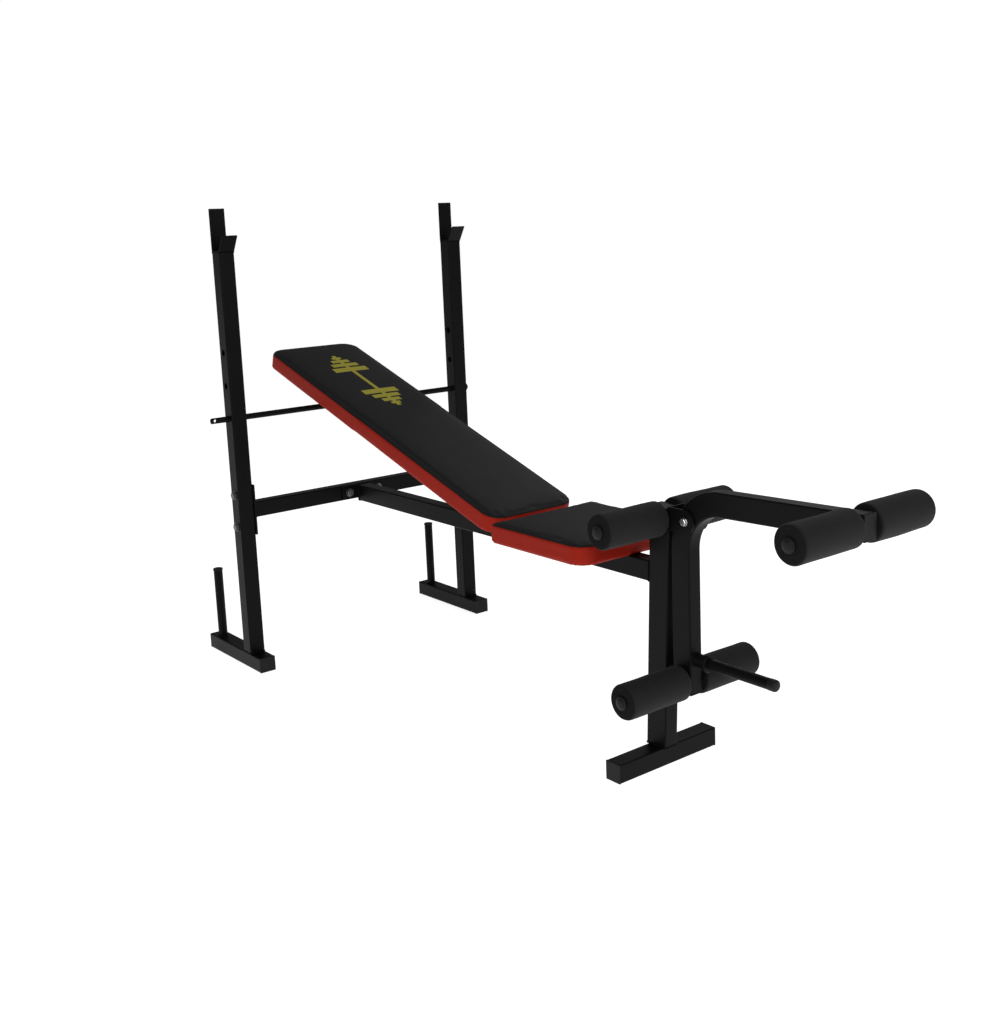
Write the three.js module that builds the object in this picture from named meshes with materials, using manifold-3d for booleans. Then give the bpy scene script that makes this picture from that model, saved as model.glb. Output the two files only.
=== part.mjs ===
// Adjustable weight bench with a leg developer. Millimetres, +Z up, +X towards the leg developer.
// The origin lies on the floor under the middle of the front foot; the bench is symmetric about Y = 0.
import * as THREE from 'three';
import { mergeVertices } from 'three/addons/utils/BufferGeometryUtils.js';
import Module from 'manifold-3d';

const wasm = await Module();
wasm.setup();

// Driving dimensions
const GAP = 0.3;
const WALL = 2;
const REAR_X = -1080;
const UPRIGHT_Y = 322;
const TUBE = 38;
const HALF = TUBE / 2;
const UPRIGHT_TOP = 1000;
const HORN_TOP = 1100;
const FOOT_W = 40;
const FOOT_H = 36;
const CAP = 4;
const REAR_FOOT = [-1287, -1012];
const FRONT_FOOT_HALF = 131;
const PEG_X = -1252;
const PEG_R = 11;
const PEG_TOP = 206;
const CROSS_Z = [370, 408];
const CROSS_X = [-1090, -1060];
const CROSS_MID = (CROSS_Z[0] + CROSS_Z[1]) / 2;
const BOLT_STEP = 38.5;
const BEAM_Z = [364.5, 405.5];
const BEAM_W = 33;
const FLANGE_T = 5;
const POST_D = 51;
const POST_W = 33;
const POST_TOP = 515;
const POST_LEAN = 0.045;
const THIGH = [21, 493];
const PIVOT = [89.6, 497];
const PIVOT_BOLT_R = 4;
const LEVER_W = 31;
const LEVER_D = 46;
const LEVER_X = 72;
const LEVER_BOTTOM = 167;
const BEND_R = 98;
const BEND = [LEVER_X + BEND_R, 441];
const ARM_SLOPE = 0.03;
const ARM_END = 474;
const ARM_TURN = Math.PI / 2 + Math.atan(ARM_SLOPE);
const armLine = (x, radius) => BEND[1] + radius * Math.sin(ARM_TURN)
  + (x - BEND[0] - radius * Math.cos(ARM_TURN)) * ARM_SLOPE;
const ARM_AXIS = [453, armLine(453, BEND_R)];
const LOWER_AXIS = [LEVER_X, 187];
const PLATE_BAR_Z = 232;
const PLATE_BAR_R = 10.5;
const ROLLER_R = 33.5;
const ROLLER_Y = [20.5, 168];
const ROLLER_TUBE_R = 8;
const HINGE = [-368, 396.5];
const INCLINE = THREE.MathUtils.degToRad(18.1);
const RAIL_H = 18;
const RAIL_Y = [17.5, 37.5];
const BOARD_T = 5;
const BOARD_INSET = 6;
const PAD_TOP = 48;
const PAD_END = [10, 975];
const PAD_HALF = [117, 125];
const PAD_CORNER = 38;
const SEAT_X = [-342, -59];
const SEAT_HALF = 141;
const SEAT_TOP = 446;
const SEAT_CORNER = 36;
const SEAT_REAR_CORNER = 8;
const ROD_R = 7;
const ROD_Y = [-387, 341.5];
const ROD_STEP = 78;
const BOLT_R = 5;
const BOLT_HOLE_R = BOLT_R + 0.4;
const HEX_R = 9;
const HEX_H = 7;
const HINGE_BOLT_R = 4;
const PLATE_T = 4;
const CRADLE_T = 3.5;
const BRACKET_T = 3.5;
const BRACKET_BASE = 475;

// Materials
function material(colour, roughness, metalness) {
  return new THREE.MeshStandardMaterial({ color: colour, roughness, metalness });
}
const blackPaint = material(0x17171a, 0.42, 0.35);
const zinc = material(0xb9bcc0, 0.35, 0.9);
const blackPlastic = material(0x141414, 0.55, 0);
const foam = material(0x1b1b1c, 0.85, 0);
const vinyl = material(0x1f1f22, 0.5, 0);
const board = material(0x6b4f33, 0.8, 0);

// Solids
const bench = new THREE.Group();
bench.name = 'weight_bench';

function toSolid(geometry) {
  const bare = new THREE.BufferGeometry();
  bare.setAttribute('position', geometry.getAttribute('position'));
  if (geometry.index) bare.setIndex(geometry.index);
  const merged = mergeVertices(bare, 1e-5);
  return new wasm.Manifold(new wasm.Mesh({
    numProp: 3,
    vertProperties: new Float32Array(merged.getAttribute('position').array),
    triVerts: new Uint32Array(merged.index.array),
  }));
}

function toGeometry(solid) {
  const mesh = solid.getMesh();
  const geometry = new THREE.BufferGeometry();
  geometry.setAttribute('position', new THREE.BufferAttribute(new Float32Array(mesh.vertProperties), 3));
  geometry.setIndex(new THREE.BufferAttribute(new Uint32Array(mesh.triVerts), 1));
  geometry.computeVertexNormals();
  return geometry;
}

function add(name, geometry, look) {
  const mesh = new THREE.Mesh(geometry, look);
  mesh.name = name;
  bench.add(mesh);
}

function cut(body, ...tools) {
  let solid = toSolid(body);
  for (const tool of tools) solid = solid.subtract(toSolid(tool));
  return toGeometry(solid);
}

function join(body, ...others) {
  let solid = toSolid(body);
  for (const other of others) solid = solid.add(toSolid(other));
  return toGeometry(solid);
}

function block(x, y, z) {
  const geometry = new THREE.BoxGeometry(x[1] - x[0], y[1] - y[0], z[1] - z[0]);
  geometry.translate((x[0] + x[1]) / 2, (y[0] + y[1]) / 2, (z[0] + z[1]) / 2);
  return geometry;
}

// A rod from one end to the other along an axis ('x', 'y' or 'z') through the given centre.
function bar(axis, centre, radius, span, sides = 24) {
  const geometry = new THREE.CylinderGeometry(radius, radius, span[1] - span[0], sides);
  if (axis === 'x') geometry.rotateZ(-Math.PI / 2);
  if (axis === 'z') geometry.rotateX(Math.PI / 2);
  const middle = (span[0] + span[1]) / 2;
  if (axis === 'x') geometry.translate(middle, centre[0], centre[1]);
  if (axis === 'y') geometry.translate(centre[0], middle, centre[1]);
  if (axis === 'z') geometry.translate(centre[0], centre[1], middle);
  return geometry;
}

function pipe(axis, centre, outer, inner, span, sides = 24) {
  const bore = bar(axis, centre, inner, [span[0] - 1, span[1] + 1], sides);
  return cut(bar(axis, centre, outer, span, sides), bore);
}

// A rectangular tube along one axis, open at both ends.
function boxTube(axis, x, y, z, wall = WALL) {
  const shrink = (span) => [span[0] + wall, span[1] - wall];
  const grow = (span) => [span[0] - 1, span[1] + 1];
  const inner = {
    x: axis === 'x' ? grow(x) : shrink(x),
    y: axis === 'y' ? grow(y) : shrink(y),
    z: axis === 'z' ? grow(z) : shrink(z),
  };
  return cut(block(x, y, z), block(inner.x, inner.y, inner.z));
}

// A flat outline in X and Z, made as thick as the span in Y.
function plateXZ(shape, y, curveSegments = 10) {
  const settings = { depth: y[1] - y[0], bevelEnabled: false, curveSegments };
  const geometry = new THREE.ExtrudeGeometry(shape, settings);
  geometry.rotateX(Math.PI / 2);
  geometry.translate(0, y[1], 0);
  return geometry;
}

// A bolt along an axis: head at the start, nut at the end, both outside the clamped span.
function bolt(axis, centre, radius, span, headRadius, headHeight) {
  const head = bar(axis, centre, headRadius, [span[0] - headHeight, span[0]], 6);
  const nut = bar(axis, centre, headRadius, [span[1], span[1] + headHeight], 6);
  const shank = bar(axis, centre, radius, [span[0] - 1, span[1] + 1], 16);
  return join(head, shank, nut);
}

const sides = [['right', -1], ['left', 1]];
const ordered = (a, b) => (a < b ? [a, b] : [b, a]);

// Rod height: the pad rails rest on it.
const rodZ = HINGE[1] + (HINGE[0] - REAR_X) * Math.tan(INCLINE)
  - (RAIL_H / 2 + ROD_R + GAP) / Math.cos(INCLINE);

// Rear frame: two feet, pegs and uprights
for (const [side, s] of sides) {
  const y = s * UPRIGHT_Y;
  const footY = [y - FOOT_W / 2, y + FOOT_W / 2];
  const footX = [REAR_FOOT[0] + CAP + GAP, REAR_FOOT[1] - CAP - GAP];
  add(`foot_${side}`, boxTube('x', footX, footY, [0, FOOT_H]), blackPaint);
  const stem = (x) => block(x, [footY[0] + WALL + GAP, footY[1] - WALL - GAP],
    [WALL + GAP, FOOT_H - WALL - GAP]);
  add(`foot_cap_rear_${side}`, join(block([REAR_FOOT[0], REAR_FOOT[0] + CAP], footY, [0, FOOT_H]),
    stem([REAR_FOOT[0] + 1, REAR_FOOT[0] + 16])), blackPlastic);
  add(`foot_cap_front_${side}`, join(block([REAR_FOOT[1] - CAP, REAR_FOOT[1]], footY, [0, FOOT_H]),
    stem([REAR_FOOT[1] - 16, REAR_FOOT[1] - 1])), blackPlastic);

  add(`plate_peg_${side}`, pipe('z', [PEG_X, y], PEG_R, PEG_R - WALL, [FOOT_H + GAP, PEG_TOP]), blackPaint);
  add(`peg_cap_${side}`, join(bar('z', [PEG_X, y], PEG_R + 1, [PEG_TOP + GAP, PEG_TOP + 6]),
    bar('z', [PEG_X, y], PEG_R - WALL - GAP, [PEG_TOP - 14, PEG_TOP + 1])), blackPlastic);

  const upX = [REAR_X - HALF, REAR_X + HALF];
  const upY = [y - HALF, y + HALF];
  const through = [y - HALF - 1, y + HALF + 1];
  const rodHoles = [0, 1, 2].map((k) => bar('y', [REAR_X, rodZ + k * ROD_STEP], ROD_R + 0.7, through, 20));
  const boltAt = (k) => [REAR_X, CROSS_MID + k * BOLT_STEP];
  const boltHoles = [-1, 1].map((k) => bar('y', boltAt(k), BOLT_HOLE_R, through, 16));
  const upright = boxTube('z', upX, upY, [FOOT_H + GAP, UPRIGHT_TOP]);
  add(`upright_${side}`, cut(upright, ...rodHoles, ...boltHoles), blackPaint);

  // Bar cradle: a bent plate with a tall rear horn and a flared front lip
  const cradle = new THREE.Shape();
  const floor = UPRIGHT_TOP + GAP;
  cradle.moveTo(upX[0], floor);
  cradle.lineTo(upX[1], floor);
  cradle.lineTo(upX[1] + 23.5, floor + 36);
  cradle.lineTo(upX[1] + 20, floor + 38);
  cradle.lineTo(upX[1] - 2.2, floor + CRADLE_T);
  cradle.lineTo(upX[0] + CRADLE_T, floor + CRADLE_T);
  cradle.lineTo(upX[0] + CRADLE_T, HORN_TOP);
  cradle.lineTo(upX[0], HORN_TOP);
  add(`bar_cradle_${side}`, plateXZ(cradle, upY), blackPaint);

  // End plate of the cross member and its two bolts
  const inside = s * (UPRIGHT_Y - HALF);
  const plateY = ordered(inside - s * GAP, inside - s * (GAP + PLATE_T));
  const plate = block([REAR_X - 22, REAR_X + 22], plateY, [CROSS_MID - 61, CROSS_MID + 61]);
  const plateHoles = [-1, 1].map((k) => bar('y', boltAt(k), BOLT_HOLE_R, [plateY[0] - 1, plateY[1] + 1], 16));
  add(`cross_plate_${side}`, cut(plate, ...plateHoles), blackPaint);
  for (const [level, k] of [['low', -1], ['high', 1]]) {
    const outside = s * (UPRIGHT_Y + HALF + GAP);
    const span = ordered(outside, inside - s * (2 * GAP + PLATE_T));
    add(`cross_bolt_${level}_${side}`, bolt('y', boltAt(k), BOLT_R, span, HEX_R, HEX_H), zinc);
  }
}

// Cross member and main beam
const crossHalf = UPRIGHT_Y - HALF - PLATE_T - 2 * GAP;
const flangeBoltY = 42;
const flangeX = [CROSS_X[1] + GAP, CROSS_X[1] + GAP + FLANGE_T];
const flangeHole = (y) => bar('x', [y, CROSS_MID], BOLT_HOLE_R, [CROSS_X[0] - 1, flangeX[1] + 1], 16);
add('cross_member', cut(boxTube('y', CROSS_X, [-crossHalf, crossHalf], CROSS_Z),
  flangeHole(-flangeBoltY), flangeHole(flangeBoltY)), blackPaint);
add('beam_flange', cut(block(flangeX, [-62, 62], [CROSS_Z[0] + 2, CROSS_Z[1] - 2]),
  flangeHole(-flangeBoltY), flangeHole(flangeBoltY)), blackPaint);
for (const [side, s] of sides) {
  const span = [CROSS_X[0] - GAP, flangeX[1] + GAP];
  add(`flange_bolt_${side}`, bolt('x', [s * flangeBoltY, CROSS_MID], BOLT_R, span, HEX_R, HEX_H), zinc);
}
const postRear = (z) => (z - FOOT_H) * POST_LEAN - POST_D / 2;
const beamX = [flangeX[1] + GAP, postRear(BEAM_Z[0]) - GAP];
add('main_beam', cut(boxTube('x', beamX, [-BEAM_W / 2, BEAM_W / 2], BEAM_Z),
  bar('y', HINGE, HINGE_BOLT_R + 0.4, [-BEAM_W, BEAM_W], 16)), blackPaint);

// Front foot and its post, which leans a little forward
const footEnd = FRONT_FOOT_HALF - CAP - GAP;
const footSpan = [-HALF, HALF];
add('front_foot', boxTube('y', footSpan, [-footEnd, footEnd], [0, TUBE]), blackPaint);
for (const [side, s] of sides) {
  const flange = block(footSpan, ordered(s * (FRONT_FOOT_HALF - CAP), s * FRONT_FOOT_HALF), [0, TUBE]);
  const stem = block([-HALF + WALL + GAP, HALF - WALL - GAP],
    ordered(s * (FRONT_FOOT_HALF - 16), s * (FRONT_FOOT_HALF - 1)), [WALL + GAP, TUBE - WALL - GAP]);
  add(`front_foot_cap_${side}`, join(flange, stem), blackPlastic);
}
const post = boxTube('z', [-POST_D / 2, POST_D / 2], [-POST_W / 2, POST_W / 2], [TUBE + GAP, POST_TOP]);
post.applyMatrix4(new THREE.Matrix4().makeShear(0, 0, 0, 0, POST_LEAN, 0));
post.translate(-FOOT_H * POST_LEAN, 0, 0);
add('front_post', cut(post, bar('y', THIGH, ROLLER_TUBE_R + GAP, [-POST_W, POST_W])), blackPaint);

// Pivot bracket: a channel open to the front, welded on the post
const webX = POST_D / 2 + (POST_TOP - FOOT_H) * POST_LEAN + GAP;
const cheek = new THREE.Shape();
cheek.moveTo(webX, BRACKET_BASE);
cheek.lineTo(PIVOT[0], BRACKET_BASE);
cheek.absarc(PIVOT[0], PIVOT[1], PIVOT[1] - BRACKET_BASE, -Math.PI / 2, Math.PI / 2.4, false);
cheek.lineTo(webX + 30, 519);
cheek.lineTo(webX, 519);
const bracketHalf = POST_W / 2 + 0.3 + 3;
const bracket = cut(plateXZ(cheek, [-bracketHalf, bracketHalf]),
  block([webX + BRACKET_T, PIVOT[0] + 60], [-POST_W / 2 - 0.3, POST_W / 2 + 0.3], [400, 600]),
  bar('y', PIVOT, PIVOT_BOLT_R + 0.4, [-40, 40], 20));
add('pivot_bracket', bracket, blackPaint);

// Leg developer: a bent lever on a pivot bolt
function leverOutline(inset, extra) {
  const outer = BEND_R + LEVER_D / 2 - inset;
  const inner = BEND_R - LEVER_D / 2 + inset;
  const end = ARM_END + extra;
  const shape = new THREE.Shape();
  shape.moveTo(BEND[0] - outer, LEVER_BOTTOM - extra);
  shape.lineTo(BEND[0] - outer, BEND[1]);
  shape.absarc(BEND[0], BEND[1], outer, Math.PI, ARM_TURN, true);
  shape.lineTo(end, armLine(end, outer));
  shape.lineTo(end, armLine(end, inner));
  shape.absarc(BEND[0], BEND[1], inner, ARM_TURN, Math.PI, false);
  shape.lineTo(BEND[0] - inner, LEVER_BOTTOM - extra);
  return shape;
}
const leverHalf = LEVER_W / 2;
add('leg_lever', cut(plateXZ(leverOutline(0, 0), [-leverHalf, leverHalf], 14),
  plateXZ(leverOutline(WALL, 2), [-leverHalf + WALL, leverHalf - WALL], 14),
  bar('y', PIVOT, PIVOT_BOLT_R + GAP, [-40, 40], 20),
  bar('y', ARM_AXIS, ROLLER_TUBE_R + GAP, [-40, 40]),
  bar('y', LOWER_AXIS, ROLLER_TUBE_R + GAP, [-40, 40])), blackPaint);
const capBottom = join(block([LEVER_X - LEVER_D / 2, LEVER_X + LEVER_D / 2], [-leverHalf, leverHalf],
  [LEVER_BOTTOM - GAP - 3, LEVER_BOTTOM - GAP]),
  block([LEVER_X - LEVER_D / 2 + WALL + GAP, LEVER_X + LEVER_D / 2 - WALL - GAP],
    [-leverHalf + WALL + GAP, leverHalf - WALL - GAP], [LEVER_BOTTOM - 1, LEVER_BOTTOM + 10]));
add('lever_cap_bottom', capBottom, blackPlastic);
const armMid = armLine(ARM_END, BEND_R);
const capFront = join(block([ARM_END + GAP, ARM_END + GAP + 3], [-leverHalf, leverHalf],
  [armMid - LEVER_D / 2 + 0.5, armMid + LEVER_D / 2 - 0.5]),
  block([ARM_END - 9, ARM_END + 1], [-leverHalf + WALL + GAP, leverHalf - WALL - GAP],
    [armMid - LEVER_D / 2 + WALL + 1, armMid + LEVER_D / 2 - WALL - 1]));
add('lever_cap_front', capFront, blackPlastic);
const boltSpan = [-bracketHalf - GAP, bracketHalf + GAP];
add('pivot_bolt', join(bar('y', PIVOT, 7.5, [boltSpan[0] - 6, boltSpan[0]], 6),
  bar('y', PIVOT, PIVOT_BOLT_R, [boltSpan[0] - 1, boltSpan[1] + 10], 20),
  bar('y', PIVOT, 7.5, [boltSpan[1], boltSpan[1] + 7], 6)), zinc);

// Plate bar on the lever: socket, collar and bar, with a plastic cap
const barBase = LEVER_X + LEVER_D / 2 + GAP;
const barCentre = [0, PLATE_BAR_Z];
add('plate_bar', join(bar('x', barCentre, 13, [barBase, barBase + 26]),
  bar('x', barCentre, 17, [barBase + 25, barBase + 34]),
  bar('x', barCentre, PLATE_BAR_R, [barBase + 33, barBase + 176])), blackPaint);
add('plate_bar_cap', join(bar('x', barCentre, PLATE_BAR_R + 0.5, [barBase + 176 + GAP, barBase + 190]),
  bar('x', barCentre, PLATE_BAR_R - 2, [barBase + 189, barBase + 192.5])), blackPlastic);

// Three roller tubes, each with two foam rollers and two end plugs
for (const [place, axis] of [['thigh', THIGH], ['arm', ARM_AXIS], ['lower', LOWER_AXIS]]) {
  const end = ROLLER_Y[1] + 1;
  add(`${place}_tube`, pipe('y', axis, ROLLER_TUBE_R, ROLLER_TUBE_R - 1.5, [-end, end]), blackPaint);
  for (const [side, s] of sides) {
    const span = ordered(s * ROLLER_Y[0], s * ROLLER_Y[1]);
    add(`${place}_foam_${side}`, pipe('y', axis, ROLLER_R, ROLLER_TUBE_R + 0.6, span, 32), foam);
    add(`${place}_plug_${side}`, join(bar('y', axis, 13, ordered(s * (end + GAP), s * (end + 4))),
      bar('y', axis, 9, ordered(s * (end + 3), s * (end + 6.5))),
      bar('y', axis, ROLLER_TUBE_R - 1.5 - GAP, ordered(s * (end - 11), s * (end + 1)))), blackPlastic);
  }
}

// Seat: a cushion on a board, bolted down on the beam
function roundedRect(x, halfStart, halfEnd, startCorner, endCorner = startCorner) {
  const shape = new THREE.Shape();
  const [a, b] = x;
  shape.moveTo(a + startCorner, -halfStart);
  shape.lineTo(b - endCorner, -halfEnd);
  shape.quadraticCurveTo(b, -halfEnd, b, -halfEnd + endCorner);
  shape.lineTo(b, halfEnd - endCorner);
  shape.quadraticCurveTo(b, halfEnd, b - endCorner, halfEnd);
  shape.lineTo(a + startCorner, halfStart);
  shape.quadraticCurveTo(a, halfStart, a, halfStart - startCorner);
  shape.lineTo(a, -halfStart + startCorner);
  shape.quadraticCurveTo(a, -halfStart, a + startCorner, -halfStart);
  return shape;
}
function slab(shape, z) {
  const settings = { depth: z[1] - z[0], bevelEnabled: false, curveSegments: 6 };
  const geometry = new THREE.ExtrudeGeometry(shape, settings);
  geometry.translate(0, 0, z[0]);
  return geometry;
}
const boardTop = BEAM_Z[1] + GAP + BOARD_T;
const seatBoardX = [SEAT_X[0] + BOARD_INSET, SEAT_X[1] - BOARD_INSET];
add('seat_board', slab(roundedRect(seatBoardX, SEAT_HALF - BOARD_INSET,
  SEAT_HALF - BOARD_INSET, SEAT_REAR_CORNER - 4, SEAT_CORNER - 4), [BEAM_Z[1] + GAP, boardTop]), board);
add('seat_pad', slab(roundedRect(SEAT_X, SEAT_HALF, SEAT_HALF, SEAT_REAR_CORNER, SEAT_CORNER),
  [boardTop + GAP, SEAT_TOP]), vinyl);

// Back rest, built flat along its rails and then turned to its incline about the hinge
function incline(geometry) {
  geometry.rotateY(INCLINE);
  geometry.translate(HINGE[0], 0, HINGE[1]);
  return geometry;
}
const backBoardZ = [RAIL_H / 2 + GAP, RAIL_H / 2 + GAP + BOARD_T];
const backX = [-PAD_END[1], -PAD_END[0]];
add('back_board', incline(slab(roundedRect([backX[0] + BOARD_INSET, backX[1] - BOARD_INSET],
  PAD_HALF[1] - BOARD_INSET, PAD_HALF[0] - BOARD_INSET, PAD_CORNER - 4), backBoardZ)), board);
add('back_pad', incline(slab(roundedRect(backX, PAD_HALF[1], PAD_HALF[0], PAD_CORNER),
  [backBoardZ[1] + GAP, PAD_TOP])), vinyl);
for (const [side, s] of sides) {
  const rail = boxTube('x', [-900, 10], ordered(s * RAIL_Y[0], s * RAIL_Y[1]), [-RAIL_H / 2, RAIL_H / 2]);
  const hole = bar('y', [0, 0], HINGE_BOLT_R + 0.4, [-60, 60], 16);
  add(`back_rail_${side}`, incline(cut(rail, hole)), blackPaint);
}
add('hinge_bolt', bolt('y', HINGE, HINGE_BOLT_R, [-RAIL_Y[1] - GAP, RAIL_Y[1] + GAP], 7.5, 5.5), zinc);

// Adjusting rod: a flattened tip with a pin hole at the right, and a welded head at the left
const rodCentre = [REAR_X, rodZ];
const shaft = join(bar('y', rodCentre, ROD_R, [ROD_Y[0] + 26, ROD_Y[1]]),
  block([REAR_X - 2.2, REAR_X + 2.2], [ROD_Y[0], ROD_Y[0] + 30], [rodZ - ROD_R + 0.2, rodZ + ROD_R - 0.2]));
const pinHole = bar('x', [ROD_Y[0] + 11, rodZ], 3.5, [REAR_X - 10, REAR_X + 10], 16);
add('adjusting_rod', cut(shaft, pinHole), blackPaint);
add('rod_head', join(bar('y', rodCentre, 13, [ROD_Y[1] + GAP, ROD_Y[1] + 6]),
  bar('y', rodCentre, 9, [ROD_Y[1] + 5, ROD_Y[1] + 12])), blackPaint);

export default bench;
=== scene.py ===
import math

import bmesh
import bpy
import numpy as np
from mathutils import Matrix, Vector


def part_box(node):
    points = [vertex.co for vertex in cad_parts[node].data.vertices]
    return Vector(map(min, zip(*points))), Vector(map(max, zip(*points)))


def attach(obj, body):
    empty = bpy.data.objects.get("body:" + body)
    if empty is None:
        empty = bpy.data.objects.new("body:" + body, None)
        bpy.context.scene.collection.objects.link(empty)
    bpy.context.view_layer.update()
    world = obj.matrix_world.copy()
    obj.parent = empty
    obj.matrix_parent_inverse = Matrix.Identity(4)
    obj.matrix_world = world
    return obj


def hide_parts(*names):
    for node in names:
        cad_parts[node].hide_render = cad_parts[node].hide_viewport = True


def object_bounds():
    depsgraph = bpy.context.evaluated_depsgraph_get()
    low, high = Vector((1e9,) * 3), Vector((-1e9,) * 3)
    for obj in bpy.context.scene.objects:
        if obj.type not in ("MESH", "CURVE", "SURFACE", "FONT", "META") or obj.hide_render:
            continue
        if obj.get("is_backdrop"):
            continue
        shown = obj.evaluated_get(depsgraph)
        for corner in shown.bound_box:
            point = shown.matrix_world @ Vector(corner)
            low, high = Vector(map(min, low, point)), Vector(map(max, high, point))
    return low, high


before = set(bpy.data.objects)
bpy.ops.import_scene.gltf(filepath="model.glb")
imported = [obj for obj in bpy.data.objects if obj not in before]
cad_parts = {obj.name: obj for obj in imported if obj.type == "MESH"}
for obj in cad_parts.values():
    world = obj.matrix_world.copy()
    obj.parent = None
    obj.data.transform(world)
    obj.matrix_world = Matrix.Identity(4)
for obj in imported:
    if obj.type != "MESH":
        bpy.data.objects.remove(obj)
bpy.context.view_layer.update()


# ---- Studio ----
# A pale seamless floor under two large soft boxes and a weak fill.
# The camera stands at the front right, a little above the seat.
def placed(name, mesh):
    """A new object at the origin for a mesh whose place is in its points."""
    piece = bpy.data.objects.new(name, mesh)
    bpy.context.scene.collection.objects.link(piece)
    return piece


class Wire:
    """One output of a node, so that a finish or a tree reads as sums of its values."""

    def __init__(self, tree, socket=None):
        self.tree, self.socket = tree, socket

    def feed(self, socket, value):
        if isinstance(value, Wire):
            self.tree.links.new(value.socket, socket)
        elif isinstance(value, (list, tuple)) and any(isinstance(v, Wire) for v in value):
            for v in value:
                self.tree.links.new(v.socket, socket)
        else:
            socket.default_value = value

    def node(self, kind, given=None, out=0, **settings):
        """Any other node of this tree: its settings by name, its sockets by name or number."""
        made = self.tree.nodes.new(kind)
        for key, value in settings.items():
            setattr(made, key, value)
        for key, value in (given or {}).items():
            self.feed(made.inputs[key], value)
        return Wire(self.tree, made.outputs[out])

    def maths(self, operation, first, second=0.0, third=0.0):
        return self.node("ShaderNodeMath", {0: first, 1: second, 2: third}, operation=operation)

    def __add__(self, other):
        return self.maths("ADD", self, other)

    __radd__ = __add__

    def __sub__(self, other):
        return self.maths("SUBTRACT", self, other)

    def __rsub__(self, other):
        return self.maths("SUBTRACT", other, self)

    def __mul__(self, other):
        return self.maths("MULTIPLY", self, other)

    __rmul__ = __mul__

    def __truediv__(self, other):
        return self.maths("DIVIDE", self, other)

    def __gt__(self, other):
        return self.maths("GREATER_THAN", self, other)

    def __abs__(self):
        return self.maths("ABSOLUTE", self)

    def largest(self, other):
        return self.maths("MAXIMUM", self, other)

    def smallest(self, other):
        return self.maths("MINIMUM", self, other)

    def blend(self, low, high):
        """From one value to another as this goes from 0 to 1."""
        return self * (high - low) + low

    def tint(self, low, high):
        """From one colour to another as this goes from 0 to 1."""
        low, high = ((*c, 1) if isinstance(c, tuple) else c for c in (low, high))
        return self.node("ShaderNodeMix", {0: self, 6: low, 7: high}, out=2, data_type="RGBA")

    def spread(self, low, high):
        """0 below low, 1 above high, even between."""
        return self.node("ShaderNodeMapRange", {0: self, 1: low, 2: high}, clamp=True)

    def noise(self, scale, detail=2.0, roughness=0.5):
        return self.node(
            "ShaderNodeTexNoise", {"Vector": self, "Scale": scale, "Detail": detail, "Roughness": roughness}
        )

    def cells(self, scale, feature="F1", out=0):
        return self.node("ShaderNodeTexVoronoi", {"Vector": self, "Scale": scale}, out=out, feature=feature)

    def along(self, direction):
        """How far each point lies along a direction."""
        given = {0: self, 1: tuple(direction)}
        return self.node("ShaderNodeVectorMath", given, out=1, operation="DOT_PRODUCT")


def finish(name, **fixed):
    """A new surface finish: its material, its shader, and the place of each point on the piece."""
    material = bpy.data.materials.new(name)
    material.use_nodes = True
    shader = material.node_tree.nodes["Principled BSDF"]
    for socket, value in fixed.items():
        shader.inputs[socket.replace("_", " ")].default_value = value
    here = Wire(material.node_tree).node("ShaderNodeTexCoord", out=3)
    return material, shader, here


FLOOR_X, FLOOR_R, FLOOR_SIDES = -0.5, 14, 64
backdrop_paper, paper_shader, here = finish(
    "backdrop_paper",
    Roughness=0.9, Specular_IOR_Level=0.1, Emission_Color=(1, 1, 1, 1), Emission_Strength=0.8,
)
here.feed(paper_shader.inputs["Base Color"], here.noise(1.5).tint((0.88, 0.88, 0.88), (0.9, 0.9, 0.9)))
paper = bpy.data.meshes.new("floor")
rim_angles = [2 * math.pi * i / FLOOR_SIDES for i in range(FLOOR_SIDES)]
paper.from_pydata(
    [(FLOOR_X + FLOOR_R * math.cos(a), FLOOR_R * math.sin(a), 0) for a in rim_angles],
    [],
    [tuple(range(FLOOR_SIDES))],
)
paper.materials.append(backdrop_paper)
placed("floor", paper)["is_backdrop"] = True

surround = bpy.data.worlds.new("surround")
surround.use_nodes = True
bpy.context.scene.world = surround
sky = Wire(surround.node_tree)
seen = sky.node("ShaderNodeLightPath")
background = surround.node_tree.nodes["Background"]
background.inputs["Color"].default_value = (1, 1, 1, 1)
sky.feed(background.inputs["Strength"], seen.blend(0.22, 1.0))
bpy.context.scene.view_settings.view_transform = "Standard"

for name, place, aim, across, power in (
    ("soft_box_front", (2.4, -2.0, 2.5), (-0.2, 0.0, 0.4), 1.9, 62),
    ("soft_box_rear", (-1.6, 2.6, 3.0), (-0.4, 0.0, 0.4), 2.4, 24),
    ("fill", (3.4, 0.6, 1.5), (0.1, 0.0, 0.4), 1.6, 14),
):
    lamp = bpy.data.lights.new(name, "AREA")
    lamp.shape, lamp.size, lamp.energy = "DISK", across, power
    stand = bpy.data.objects.new(name, lamp)
    stand.location = place
    stand.rotation_euler = (Vector(aim) - Vector(place)).to_track_quat("-Z", "Y").to_euler()
    bpy.context.scene.collection.objects.link(stand)

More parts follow.
